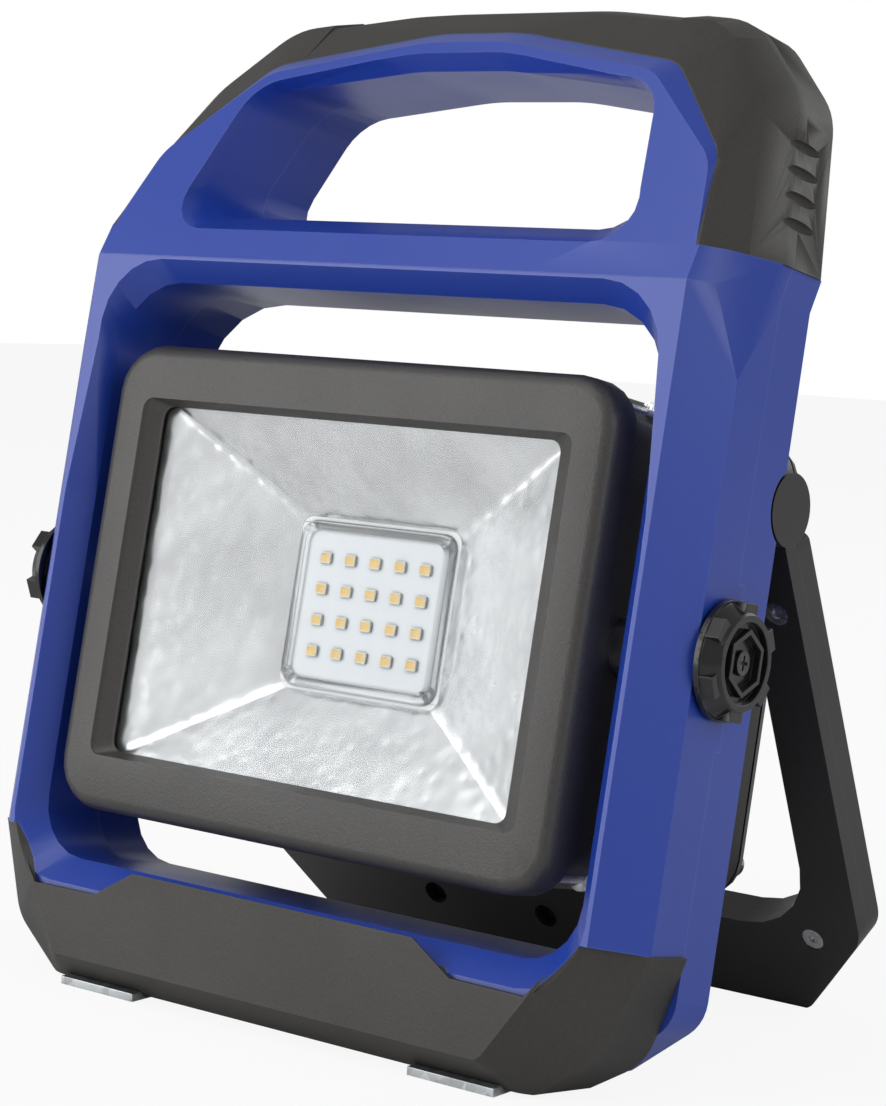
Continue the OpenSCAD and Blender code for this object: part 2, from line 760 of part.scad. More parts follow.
module glass_gasket() {
    color([0.1, 0.1, 0.1]) stand_up() difference() {
        slab(box_corners(pane_w, pane_h, 4), lip_y, pane_y);
        slab(box_corners(pane_w - 4, pane_h - 3.5, 3), 0, head_depth);
    }
}
module glass_lens() {
    color([0.85, 0.9, 0.9, 0.3]) stand_up() slab(box_corners(pane_w, pane_h, 4), pane_y, pane_y + glass_t);
}
module reflector() {
    y1 = board_y;
    color([0.9, 0.9, 0.9]) stand_up() difference() {
        union() {
            slab(box_corners(pane_w, pane_h, 4), flange_y, flange_y + sheet);
            loft([[flange_y + sheet / 2, box_corners(pane_w - 2.5, pane_h - 2, 2)], [y1, box_corners(light_w + sheet, light_h + sheet, 3)]]);
        }
        loft([
            [flange_y - 0.5, box_corners(pane_w - 3, pane_h - 2.5, 2)], [flange_y, box_corners(pane_w - 3.4, pane_h - 2.9, 2)],
            [y1, box_corners(light_w, light_h, 3)], [y1 + eps, box_corners(light_w, light_h, 3)]
        ]);
    }
}
module led_window() {
    color([0.9, 0.92, 0.95, 0.5]) stand_up() difference() {
        loft([
            [board_y - 3, box_corners(light_w - 2.4, light_h - 2.4, 4)], [board_y - 2.2, box_corners(light_w - 1.4, light_h - 1.4, 4)],
            [board_y, box_corners(light_w - 0.6, light_h - 0.6, 4)]
        ]);
        slab(box_corners(light_w - 3, light_h - 3, 3), board_y - 2.2, board_y + eps);
    }
}
module led_board() {
    color([0.92, 0.93, 0.9]) stand_up() difference() {
        slab(box_corners(board_w, board_h, 2), board_y, board_y + board_t);
        led_screw_places(board_y - eps, head_depth, screw_r);
    }
}
module led_screw_places(y0, y1, r) {
    left_and_right() for (s = [-1, 1]) rod_y(board_w - 3.4, s * (board_h - 5), r, y0, y1);
}
module led_board_screws() {
    color(steel) stand_up() {
        led_screw_places(board_y, floor_y, screw_r - running);
        led_screw_places(board_y - 1.2, board_y, 2.4);
    }
}
module led_chips() {
    color([0.95, 0.75, 0.2]) stand_up()
        for (i = [0:led_cols - 1]) for (j = [0:led_rows - 1])
            translate([(i - (led_cols - 1) / 2) * led_pitch, board_y - 0.8, (j - (led_rows - 1) / 2) * led_pitch])
                block(-1.6, 1.6, 0, 0.8, -1.3, 1.3);
}

// ---- Battery and electronics ----
cell_r = 9.1;
cell_len = 65;
chamber_w = case_w - housing_wall;
cells_in_row = max(1, floor((2 * chamber_w - 6) / (cell_len + 1)));
row_len = cells_in_row * (cell_len + 0.6);
cell_y = head_depth - 36;
cell_rows = [-12, 12];
holder_y = cell_y - cell_r - 0.5;
module battery_cells() {
    color([0.1, 0.4, 0.65]) stand_up() for (z = cell_rows) for (i = [0:cells_in_row - 1])
        rod_x(-row_len / 2 + i * (cell_len + 0.6) + 0.3, -row_len / 2 + i * (cell_len + 0.6) + 0.3 + cell_len,
            cell_y, z, cell_r);
}
module cell_holder() {
    color(black) stand_up() difference() {
        union() {
            block(-row_len / 2 - 1.5, row_len / 2 + 1.5, holder_y - 2, cell_y - 3, cell_rows[0] - cell_r - 2, cell_rows[1] + cell_r + 2);
            left_and_right() for (z = [-10, 10]) rod_y(row_len / 2 - 12, z, 3, floor_y + floor_t, holder_y - 1);
        }
        for (z = cell_rows) rod_x(-row_len / 2, row_len / 2, cell_y, z, cell_r);
        block(-row_len / 2, row_len / 2, holder_y, cell_y, -8, 8);
    }
}
module driver_board() {
    z0 = cell_rows[0] - cell_r - 4;
    color([0.05, 0.3, 0.15]) stand_up() {
        block(-40, 40, floor_y + floor_t + 4, floor_y + floor_t + 4 + board_t, -case_h + top_wall + 2, z0 - 3);
        for (x = [-34, 34]) rod_y(x, (z0 - 1 - case_h + top_wall) / 2, 2.5, floor_y + floor_t, floor_y + floor_t + 4);
        rod_y(-18, (z0 - 1 - case_h + top_wall) / 2, 5, floor_y + floor_t + 4 + board_t, floor_y + floor_t + 16);
        block(0, 18, floor_y + floor_t + 4 + board_t, floor_y + floor_t + 14, -case_h + top_wall + 4, z0 - 4);
    }
}

// ---- Side knobs, drawn for the right side ----
knob_x = side_w + washer_t + 0.3;
module knob() {
    face_x = knob_x + knob_h;
    difference() {
        union() {
            rod_x(knob_x, knob_x + 1.4, tilt_y, 0, knob_r);
            rod_x(knob_x + 1.4, face_x, tilt_y, 0, knob_r - 0.6, knob_r - 2.9);
            for (a = [0:60:300])
                translate([knob_x, tilt_y, 0]) rotate([a, 0, 0]) block(0, knob_h - 0.6, -2.6, 2.6, knob_r - 5, knob_r - 0.4);
        }
        difference() {
            rod_x(face_x - 1.8, face_x + eps, tilt_y, 0, knob_r - 4.4);
            translate([face_x - 2, tilt_y, 0]) rotate([0, 90, 0]) difference() {
                cylinder(h = 2.4, r = 7.6, $fn = 6);
                translate([0, 0, -eps]) cylinder(h = 4, r = 6.4, $fn = 6);
            }
        }
        rod_x(knob_x - eps, knob_x + 2, tilt_y, 0, stud_r);
        rod_x(knob_x, face_x + eps, tilt_y, 0, screw_r);
        rod_x(knob_x + 3, face_x + eps, tilt_y, 0, 2.75);
    }
}
module knob_stud() {
    difference() {
        rod_x(case_w - 5, knob_x + 2, tilt_y, 0, stud_r);
        rod_x(side_w - 8, side_w + far, tilt_y, 0, screw_r);
    }
}
module knob_screw() {
    rod_x(side_w - 6, knob_x + 3, tilt_y, 0, screw_r - 0.02);
    difference() {
        rod_x(knob_x + 3, knob_x + 4.6, tilt_y, 0, 2.7);
        for (a = [0, 90]) translate([0, tilt_y, 0]) rotate([a, 0, 0])
            block(knob_x + 3.8, knob_x + 5, -1.7, 1.7, -0.35, 0.35);
    }
}
module right_knob() { color(black) stand_up() knob(); }
module right_knob_stud() { color(steel) stand_up() knob_stud(); }
module right_knob_screw() { color(steel) stand_up() knob_screw(); }
module left_knob() { color(black) stand_up() mirror([1, 0, 0]) knob(); }
module left_knob_stud() { color(steel) stand_up() mirror([1, 0, 0]) knob_stud(); }
module left_knob_screw() { color(steel) stand_up() mirror([1, 0, 0]) knob_screw(); }

// ---- Stand, drawn in its own plane: z runs up the leg from the foot to the pivot ----
leg_out = side_w - 1.2;
leg_in = leg_out - stand_arm_w;
arm_top = -stand_boss_r - 1;
// Outside of the stand, and the arch between its legs
stand_side = [[leg_out - 19, -stand_len, 6], [leg_out, -stand_len + 25, 10], [leg_out, arm_top, 2]];
stand_arch = both([[leg_in, -stand_len + stand_bar, 20], [leg_in + 1, arm_top + 20, 2]]);
stand_outline = both(concat(stand_side, [[leg_in + 1, arm_top, 2], [leg_in, -stand_len + stand_bar, 20]]));
stand_mid = stand_front + stand_plate_t;
stand_screw_places = [[leg_out - 5.9, -26.2], [leg_out - 13.7, -stand_len + 23]];
module on_floor() {
    intersection() {
        children();
        block(-far, far, -far, far, 0, far);
    }
}
module stand_boss() {
    difference() {
        union() {
            rod_x(lug_x1 + washer_x, side_w, 0, 0, stand_boss_r);
            difference() {
                hull() {
                    rod_x(lug_x1 + washer_x, leg_out, 0, 0, stand_boss_r - 3);
                    block(lug_x1 + washer_x, leg_out, stand_front, stand_mid - gap, arm_top - 12, arm_top);
                }
                block(lug_x1, leg_out + eps, -far, stand_front, -far, far);
                block(lug_x1, leg_out + eps, stand_mid, far, -far, arm_top + gap);
            }
        }
        rod_x(lug_x1, side_w - 2.7, 0, 0, pin_r + running);
    }
}
module stand_front_plate() {
    color(black) on_floor() stand_up() on_stand() {
        difference() {
            union() {
                slab(stand_outline, stand_front, stand_mid);
                left_and_right() stand_boss();
            }
            left_and_right() rod_x(lug_x1, side_w - 2.7, 0, 0, pin_r + running);
            for (x = [-1, 0, 1]) rod_y(x * 36.6, -stand_len + 12.4, 3.5, stand_front - eps, stand_mid - 1);
            left_and_right() for (p = stand_screw_places) {
                rod_y(p.x, p.y, screw_r, stand_front - eps, stand_mid + eps);
                rod_y(p.x, p.y, 3, stand_front - eps, stand_front + 1.8);
            }
        }
    }
}
module stand_rear_shell() {
    outer = both(stand_side);
    inner = grown(stand_outline, -shell_wall);
    bevel_y = stand_back - stand_bevel_y;
    past_bevel = stand_bevel_in * (stand_bevel_y + eps) / stand_bevel_y;
    color(black) on_floor() stand_up() on_stand() difference() {
        loft([[stand_mid, outer], [bevel_y, outer], [stand_back, grown(outer, -stand_bevel_in)]]);
        loft([
            [stand_mid - eps, stand_arch], [bevel_y, stand_arch], [stand_back + eps, grown(stand_arch, past_bevel)]
        ]);
        difference() {
            slab(inner, stand_mid - eps, bevel_y - 0.5);
            left_and_right() for (p = stand_screw_places) {
                rod_y(p.x, p.y, screw_boss_r, stand_mid - 2 * eps, stand_back);
            }
        }
        left_and_right() for (p = stand_screw_places) rod_y(p.x, p.y, screw_r, stand_mid - eps, stand_back - 3);
    }
}
module stand_screws() {
    color(steel) stand_up() on_stand() left_and_right() for (p = stand_screw_places) {
        rod_y(p.x, p.y, screw_r - running, stand_front + 1.8, stand_back - 4);
        difference() {
            rod_y(p.x, p.y, 2.9, stand_front + 0.2, stand_front + 1.8);
            rod_y(p.x, p.y, 1.2, stand_front - eps, stand_front + 1);
        }
    }
}

frame_front_shell();
frame_rear_shell();
grip_front_half();
grip_rear_half();
bottom_bumper();
foot_pads();
shell_screws();
tilt_bushes();
knob_washers();
stand_pivot_pins();
stand_friction_washers();
front_bezel();
head_housing();
rear_cover();
glass_gasket();
glass_lens();
reflector();
led_window();
led_board();
led_chips();
led_board_screws();
bezel_screws();
head_trunnions();
rear_cover_gasket();
rear_cover_screws();
cell_holder();
battery_cells();
driver_board();
control_board();
power_switch();
charge_socket();
power_button();
charge_port_cover();
charge_port_pin();
right_knob();
right_knob_stud();
right_knob_screw();
left_knob();
left_knob_stud();
left_knob_screw();
stand_front_plate();
stand_rear_shell();
stand_screws();
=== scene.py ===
import json
from math import cos, radians, sin

import bpy
from mathutils import Matrix, Vector


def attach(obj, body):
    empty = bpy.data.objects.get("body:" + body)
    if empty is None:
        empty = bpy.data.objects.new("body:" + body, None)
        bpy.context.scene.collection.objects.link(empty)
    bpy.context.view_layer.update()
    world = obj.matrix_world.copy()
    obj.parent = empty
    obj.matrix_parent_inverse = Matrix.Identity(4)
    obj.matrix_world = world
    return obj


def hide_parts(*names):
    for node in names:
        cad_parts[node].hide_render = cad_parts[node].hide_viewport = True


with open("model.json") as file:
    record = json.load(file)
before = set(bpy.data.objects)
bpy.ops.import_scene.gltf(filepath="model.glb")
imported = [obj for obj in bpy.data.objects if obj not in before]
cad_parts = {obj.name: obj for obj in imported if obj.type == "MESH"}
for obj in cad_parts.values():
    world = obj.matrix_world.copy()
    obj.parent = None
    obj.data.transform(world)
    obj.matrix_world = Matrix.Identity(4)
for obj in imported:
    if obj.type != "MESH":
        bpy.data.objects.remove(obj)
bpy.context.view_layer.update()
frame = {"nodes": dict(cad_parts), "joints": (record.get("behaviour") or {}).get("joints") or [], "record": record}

# ---- The view of the work light ----
# The light stands leaning back, and is seen from its own left. Places are given in the
# leaning frame, whose zero is the middle of the bezel's front face. The tilt axis lies
# tilt_depth behind that face.
lean = radians(10)
tilt_pin = Vector(next(j for j in frame["joints"] if j["name"] == "head_tilt")["pos_m"])
tilt_depth = 0.021
upright = Matrix.Rotation(-lean, 3, "X")
face_centre = tilt_pin - upright @ Vector((0, tilt_depth, 0))


def on_light(across, back, up):
    """A point of the leaning frame, in metres, as a place in the scene."""
    return face_centre + upright @ Vector((across, back, up))


turn, rise, roll = radians(36.4795), radians(-2.4282), radians(8.6817)
towards = Vector((sin(turn) * cos(rise), -cos(turn) * cos(rise), sin(rise)))
level = (-towards).cross(Vector((0, 0, 1))).normalized()
above = level.cross(-towards)
right = cos(roll) * level + sin(roll) * above
top = -sin(roll) * level + cos(roll) * above
look = upright @ Matrix((right, top, towards)).transposed()
camera_place = (0.40190, -0.49775, -0.01136)
bpy.ops.object.camera_add()
camera = bpy.context.object
camera.data.lens = 89.24
camera.data.sensor_width = 36
camera.data.clip_start = 0.01
camera.matrix_world = Matrix.Translation(on_light(*camera_place)) @ look.to_4x4()
bpy.context.scene.camera = camera

# ---- Floor and studio light ----
# A pale sheet for the light to stand on, which looks white and keeps a faint shadow. A
# soft lamp above, a wide strong one at the front left, and weak ones at the right and behind.
# The eye sees floor_wash of the sheet as plain white, and the rest as it is lit.
floor_wash = 0.9
bpy.ops.mesh.primitive_plane_add(size=8, location=(0, 0, 0))
floor = bpy.context.object
floor.name = "floor"
pale = bpy.data.materials.new("pale_floor")
pale.use_nodes = True
matt = pale.node_tree.nodes["Principled BSDF"]
matt.inputs["Base Color"].default_value = (0.9, 0.9, 0.9, 1)
matt.inputs["Roughness"].default_value = 0.9
glow = pale.node_tree.nodes.new("ShaderNodeEmission")
glow.inputs["Color"].default_value = (1, 1, 1, 1)
eye = pale.node_tree.nodes.new("ShaderNodeLightPath")
direct = pale.node_tree.nodes.new("ShaderNodeMath")
direct.operation = "MAXIMUM"
pale.node_tree.links.new(eye.outputs["Is Camera Ray"], direct.inputs[0])
pale.node_tree.links.new(eye.outputs["Is Transmission Ray"], direct.inputs[1])
washed = pale.node_tree.nodes.new("ShaderNodeMath")
washed.operation = "MULTIPLY"
washed.inputs[1].default_value = floor_wash
pale.node_tree.links.new(direct.outputs[0], washed.inputs[0])
laid = pale.node_tree.nodes.new("ShaderNodeMixShader")
pale.node_tree.links.new(washed.outputs[0], laid.inputs["Fac"])
pale.node_tree.links.new(matt.outputs["BSDF"], laid.inputs[1])
pale.node_tree.links.new(glow.outputs["Emission"], laid.inputs[2])
pale.node_tree.links.new(laid.outputs["Shader"], pale.node_tree.nodes["Material Output"].inputs["Surface"])
floor.data.materials.append(pale)


def soft_lamp(name, place, target, size, power):
    """A square soft box at a place, turned to a target."""
    bpy.ops.object.light_add(type="AREA", location=place)
    lamp = bpy.context.object
    lamp.name = name
    lamp.data.size = size
    lamp.data.energy = power
    lamp.rotation_euler = (Vector(target) - Vector(place)).to_track_quat("-Z", "Y").to_euler()


middle = (0, 0, 0.12)
soft_lamp("top_lamp", (-0.35, -0.75, 1.35), middle, size=0.8, power=4)
soft_lamp("front_lamp", (-1.0, -1.25, 0.55), middle, size=1.3, power=15)
soft_lamp("side_lamp", (1.4, -0.35, 0.7), middle, size=0.8, power=4.5)
soft_lamp("rear_lamp", (0.5, 1.3, 0.8), middle, size=0.8, power=4)

# The surroundings are white to the eye, and weaker as light on the pieces and in mirrors
sky_seen, sky_light, sky_mirrored = 1.0, 0.3, 0.4
surroundings = bpy.data.worlds.new("surroundings")
bpy.context.scene.world = surroundings
surroundings.use_nodes = True
sky = surroundings.node_tree.nodes
sky_links = surroundings.node_tree.links
paths = sky.new("ShaderNodeLightPath")
seen = sky.new("ShaderNodeMath")
seen.operation = "MAXIMUM"
sky_links.new(paths.outputs["Is Camera Ray"], seen.inputs[0])
sky_links.new(paths.outputs["Is Transmission Ray"], seen.inputs[1])
strength = sky.new("ShaderNodeMapRange")
strength.inputs["To Min"].default_value = sky_light
strength.inputs["To Max"].default_value = sky_seen
sky_links.new(seen.outputs[0], strength.inputs["Value"])
mirrored = sky.new("ShaderNodeMath")
mirrored.operation = "MULTIPLY"
mirrored.inputs[1].default_value = sky_mirrored
sky_links.new(paths.outputs["Is Glossy Ray"], mirrored.inputs[0])
brightest = sky.new("ShaderNodeMath")
brightest.operation = "MAXIMUM"
sky_links.new(strength.outputs["Result"], brightest.inputs[0])
sky_links.new(mirrored.outputs[0], brightest.inputs[1])
sky["Background"].inputs["Color"].default_value = (1, 1, 1, 1)
sky_links.new(brightest.outputs[0], sky["Background"].inputs["Strength"])
bpy.context.scene.view_settings.view_transform = "Standard"

# ---- Carry frame shells ----
# Two moulded shells of blue plastic, front and rear, that meet on a seam round the side
# and are held by six screws. Their edges are rounded, which leaves a fine groove there.


def new_group(name, inputs, outputs):
    """An empty shader group with named float inputs and named outputs."""
    group = bpy.data.node_groups.new(name, "ShaderNodeTree")
    for label, value in inputs.items():
        socket = group.interface.new_socket(label, in_out="INPUT", socket_type="NodeSocketFloat")
        socket.default_value = value
    for label, kind in outputs.items():
        group.interface.new_socket(label, in_out="OUTPUT", socket_type=kind)
    start = group.nodes.new("NodeGroupInput")
    end = group.nodes.new("NodeGroupOutput")
    return group, start, end


def join(tree, out_socket, in_socket):
    tree.links.new(out_socket, in_socket)


def maths(tree, kind, first, second):
    """A Math node on two sockets or numbers; gives its output."""
    node = tree.nodes.new("ShaderNodeMath")
    node.operation = kind
    for socket, value in zip(node.inputs, (first, second)):
        if isinstance(value, (int, float)):
            socket.default_value = value
        else:
            join(tree, value, socket)
    return node.outputs[0]


def noise(tree, scale, detail=2.0):
    """A Noise texture on Object coordinates; gives its value from 0 to 1."""
    place = tree.nodes.new("ShaderNodeTexCoord")
    texture = tree.nodes.new("ShaderNodeTexNoise")
    texture.inputs["Detail"].default_value = detail
    join(tree, place.outputs["Object"], texture.inputs["Vector"])
    if isinstance(scale, (int, float)):
        texture.inputs["Scale"].default_value = scale
    else:
        join(tree, scale, texture.inputs["Scale"])
    return texture.outputs["Fac"]


# Grain: the fine etched texture of a mould, as roughness, bump and a slight mottle, with
# broad patches that shine a little more or less
grain_depth, patch_scale = 0.0001, 38.0
grain, g_in, g_out = new_group(
    "etched_grain",
    {"Scale": 2500, "Height": 0.2, "Roughness": 0.4, "Spread": 0.1},
    {"Roughness": "NodeSocketFloat", "Normal": "NodeSocketVector", "Mottle": "NodeSocketFloat"},
)
fine = noise(grain, g_in.outputs["Scale"], 3.0)
bump = grain.nodes.new("ShaderNodeBump")
bump.inputs["Distance"].default_value = grain_depth
join(grain, g_in.outputs["Height"], bump.inputs["Strength"])
join(grain, fine, bump.inputs["Height"])
join(grain, bump.outputs["Normal"], g_out.inputs["Normal"])
wide = maths(grain, "SUBTRACT", noise(grain, patch_scale, 4.0), 0.5)
shift = maths(grain, "MULTIPLY", wide, g_in.outputs["Spread"])
join(grain, maths(grain, "ADD", g_in.outputs["Roughness"], shift), g_out.inputs["Roughness"])
join(grain, fine, g_out.inputs["Mottle"])

# Worn edges: where a rounded normal turns away from the true one, broken up by noise.
# Crevices: painted shade, darker where another face lies close, as in a seam or between parts
crevice_reach, wear_gain, wear_scale = 0.0012, 6.0, 160.0
wear_and_crevice_shade, w_in, w_out = new_group(
    "worn_edges_and_painted_shade",
    {"Radius": 0.0008, "Amount": 1.0},
    {"Mask": "NodeSocketFloat", "Crevice": "NodeSocketFloat"},
)
closeness = wear_and_crevice_shade.nodes.new("ShaderNodeAmbientOcclusion")
closeness.samples = 6
closeness.inputs["Distance"].default_value = crevice_reach
shut = wear_and_crevice_shade.nodes.new("ShaderNodeMapRange")
shut.inputs["From Min"].default_value = 0.35
shut.inputs["From Max"].default_value = 0.9
join(wear_and_crevice_shade, closeness.outputs["AO"], shut.inputs["Value"])
join(wear_and_crevice_shade, shut.outputs["Result"], w_out.inputs["Crevice"])
rounded = wear_and_crevice_shade.nodes.new("ShaderNodeBevel")
rounded.samples = 4
join(wear_and_crevice_shade, w_in.outputs["Radius"], rounded.inputs["Radius"])
true_face = wear_and_crevice_shade.nodes.new("ShaderNodeNewGeometry")
facing = wear_and_crevice_shade.nodes.new("ShaderNodeVectorMath")
facing.operation = "DOT_PRODUCT"
join(wear_and_crevice_shade, rounded.outputs["Normal"], facing.inputs[0])
join(wear_and_crevice_shade, true_face.outputs["Normal"], facing.inputs[1])
turned = maths(wear_and_crevice_shade, "SUBTRACT", 1.0, facing.outputs["Value"])
stronger = maths(wear_and_crevice_shade, "MULTIPLY", turned, wear_gain)
broken = maths(wear_and_crevice_shade, "MULTIPLY", stronger, noise(wear_and_crevice_shade, wear_scale, 5.0))
edge_mask = wear_and_crevice_shade.nodes.new("ShaderNodeClamp")
join(wear_and_crevice_shade, maths(wear_and_crevice_shade, "MULTIPLY", broken, w_in.outputs["Amount"]), edge_mask.inputs["Value"])
join(wear_and_crevice_shade, edge_mask.outputs["Result"], w_out.inputs["Mask"])


# crevice_shade is the share of a colour left in the painted shade of a crevice
edge_radius, crevice_shade = 0.0007, 0.12


def moulded(
    name, colour, worn, rough, scale=2500, height=0.2, spread=0.12, mottle=0.25, amount=0.7
):
    """A moulded or coated finish: a mottled colour, worn edges, painted shade in crevices and a grain."""
    material = bpy.data.materials.new(name)
    material.use_nodes = True
    tree = material.node_tree
    shader = tree.nodes["Principled BSDF"]
    texture = tree.nodes.new("ShaderNodeGroup")
    texture.node_tree = grain
    for label, value in {"Scale": scale, "Height": height, "Roughness": rough, "Spread": spread}.items():
        texture.inputs[label].default_value = value
    rubbed_and_shaded = tree.nodes.new("ShaderNodeGroup")
    rubbed_and_shaded.node_tree = wear_and_crevice_shade
    rubbed_and_shaded.inputs["Radius"].default_value = edge_radius
    rubbed_and_shaded.inputs["Amount"].default_value = amount
    shade = tree.nodes.new("ShaderNodeMix")
    shade.data_type = "RGBA"
    shade.inputs["A"].default_value = (*[c * (1 - mottle) for c in colour], 1)
    shade.inputs["B"].default_value = (*[min(1.0, c * (1 + mottle)) for c in colour], 1)
    join(tree, texture.outputs["Mottle"], shade.inputs["Factor"])
    edges = tree.nodes.new("ShaderNodeMix")
    edges.data_type = "RGBA"
    edges.inputs["B"].default_value = (*worn, 1)
    join(tree, shade.outputs["Result"], edges.inputs["A"])
    join(tree, rubbed_and_shaded.outputs["Mask"], edges.inputs["Factor"])
    # Painted shade: the colour falls to crevice_shade of itself where another face lies close
    shaded = tree.nodes.new("ShaderNodeMix")
    shaded.data_type = "RGBA"
    shaded.inputs["A"].default_value = (*[c * crevice_shade for c in colour], 1)
    join(tree, edges.outputs["Result"], shaded.inputs["B"])
    join(tree, rubbed_and_shaded.outputs["Crevice"], shaded.inputs["Factor"])
    join(tree, shaded.outputs["Result"], shader.inputs["Base Color"])
    join(tree, texture.outputs["Roughness"], shader.inputs["Roughness"])
    join(tree, texture.outputs["Normal"], shader.inputs["Normal"])
    return material


weld_gap, face_weight = 0.000005, 70


def deselect():
    bpy.ops.object.select_all(action="DESELECT")


def work_on(piece):
    """Makes a piece the only selected one, and active."""
    deselect()
    piece.select_set(True)
    bpy.context.view_layer.objects.active = piece


def body_of_node(node):
    return next(b for b, nodes in frame["record"]["behaviour"]["bodies"].items() if node in nodes)


def finished_copy(node, name, finish, edge=0.0004, steps=2, crease=32):
    """A copy of a CAD node with its points merged and its edges rounded, riding in its place."""
    piece = bpy.data.objects.new(name, frame["nodes"][node].data.copy())
    bpy.context.scene.collection.objects.link(piece)
    piece.data.materials.clear()
    piece.data.materials.append(finish)
    work_on(piece)
    if piece.data.has_custom_normals:
        bpy.ops.mesh.customdata_custom_splitnormals_clear()
    bpy.ops.object.mode_set(mode="EDIT")
    bpy.ops.mesh.select_all(action="SELECT")
    bpy.ops.mesh.remove_doubles(threshold=weld_gap)
    bpy.ops.object.mode_set(mode="OBJECT")
    if edge:
        rounding = piece.modifiers.new("rounding", "BEVEL")
        rounding.width = edge
        rounding.segments = steps
        rounding.limit_method = "ANGLE"
        rounding.angle_limit = radians(crease)
        rounding.use_clamp_overlap = True
        bpy.ops.object.modifier_apply(modifier="rounding")
    bpy.ops.object.shade_smooth_by_angle(angle=radians(crease))
    evened = piece.modifiers.new("evened", "WEIGHTED_NORMAL")
    evened.keep_sharp = True
    evened.weight = face_weight
    bpy.ops.object.modifier_apply(modifier="evened")
    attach(piece, body_of_node(node))
    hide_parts(node)
    return piece


blue_plastic = moulded(
    "blue_moulded_plastic",
    colour=(0.012, 0.05, 0.38),
    worn=(0.12, 0.17, 0.5),
    rough=0.34,
    scale=2600,
    height=0.16,
    mottle=0.16,
    amount=0.35,
)
blue_skin = blue_plastic.node_tree.nodes["Principled BSDF"]
blue_skin.inputs["Specular IOR Level"].default_value = 0.5
blue_skin.inputs["Coat Weight"].default_value = 0.25
blue_skin.inputs["Coat Roughness"].default_value = 0.36
finished_copy("frame_front_shell", "front_shell", blue_plastic, edge=0.0005)
finished_copy("frame_rear_shell", "rear_shell", blue_plastic, edge=0.0005)

# ---- Handle grip and bottom bumper ----
# Charcoal rubber moulded over the corners of the handle and the foot of the frame, with
# a grained skin. Both halves of the grip meet on the same seam as the shells.
rubber = moulded(
    "charcoal_rubber",
    colour=(0.036, 0.034, 0.031),
    worn=(0.075, 0.07, 0.065),
    rough=0.55,
    scale=1500,
    height=0.55,
    spread=0.2,
    mottle=0.35,
    amount=0.6,
)
# The seam runs straight up to bend_up and then slopes back. Above its foot, each side of
# the grip leans in by grip_fall.
seam_depth, handle_slope, bend_up = 0.0235, 0.3839, 0.080
notch_half_sizes, notch_proud, grip_crease = (0.0019, 0.0075, 0.0015), 0.0004, 38
notch_ups = (0.0985, 0.105, 0.1115, 0.118)
grip_foot_across, grip_foot_up, grip_fall = 0.099, 0.084, 13 / 46
for half in ("front", "rear"):
    grip = finished_copy(f"grip_{half}_half", f"grip_{half}", rubber, edge=0.0006)
    # Four finger notches across the seam on each side, each cut by an ellipsoid
    for side in (-1, 1):
        for height in notch_ups:
            across = grip_foot_across - grip_fall * (height - grip_foot_up)
            depth = seam_depth + handle_slope * (height - bend_up)
            deselect()
            bpy.ops.mesh.primitive_uv_sphere_add(segments=20, ring_count=12, radius=1)
            cutter = bpy.context.object
            cutter.scale = notch_half_sizes
            cutter.location = on_light(side * (across + notch_proud), depth, height)
            cutter.rotation_euler = (-lean, 0, 0)
            bpy.ops.object.transform_apply(location=True, rotation=True, scale=True)
            work_on(grip)
            notch = grip.modifiers.new("notch", "BOOLEAN")
            notch.operation = "DIFFERENCE"
            notch.solver = "MANIFOLD"
            notch.object = cutter
            bpy.ops.object.modifier_apply(modifier="notch")
            bpy.data.objects.remove(cutter)
    while len(grip.data.materials) > 1:
        grip.data.materials.pop()
    bpy.ops.object.shade_smooth_by_angle(angle=radians(grip_crease))
finished_copy("bottom_bumper", "bumper", rubber, edge=0.0007)

# ---- Foot pads ----
# Folded strips of zinc-plated steel, with the spangle of galvanised plate, that lie under
# the bumper for the light to stand on.
scratches_per_crystal = 6


def plated(name, colour, rough, scale, contrast):
    """Plated metal: crystals of slightly different brightness, with fine scratches."""
    material = bpy.data.materials.new(name)
    material.use_nodes = True
    tree = material.node_tree
    shader = tree.nodes["Principled BSDF"]
    shader.inputs["Metallic"].default_value = 1.0
    place = tree.nodes.new("ShaderNodeTexCoord")
    crystals = tree.nodes.new("ShaderNodeTexVoronoi")
    crystals.inputs["Scale"].default_value = scale
    join(tree, place.outputs["Object"], crystals.inputs["Vector"])
    grey = tree.nodes.new("ShaderNodeSeparateColor")
    join(tree, crystals.outputs["Color"], grey.inputs["Color"])
    tint = tree.nodes.new("ShaderNodeMix")
    tint.data_type = "RGBA"
    tint.inputs["A"].default_value = (*[c * (1 - contrast) for c in colour], 1)
    tint.inputs["B"].default_value = (*[min(1.0, c * (1 + contrast)) for c in colour], 1)
    join(tree, grey.outputs[0], tint.inputs["Factor"])
    join(tree, tint.outputs["Result"], shader.inputs["Base Color"])
    texture = tree.nodes.new("ShaderNodeGroup")
    texture.node_tree = grain
    scratches = {
        "Scale": scale * scratches_per_crystal,
        "Height": 0.15,
        "Roughness": rough,
        "Spread": 0.25,
    }
    for label, value in scratches.items():
        texture.inputs[label].default_value = value
    join(tree, texture.outputs["Roughness"], shader.inputs["Roughness"])
    join(tree, texture.outputs["Normal"], shader.inputs["Normal"])
    return material


galvanised = plated("galvanised_plate", (0.6, 0.63, 0.64), 0.42, 420, 0.22)
finished_copy("foot_pads", "foot_plates", galvanised, edge=0.0002)

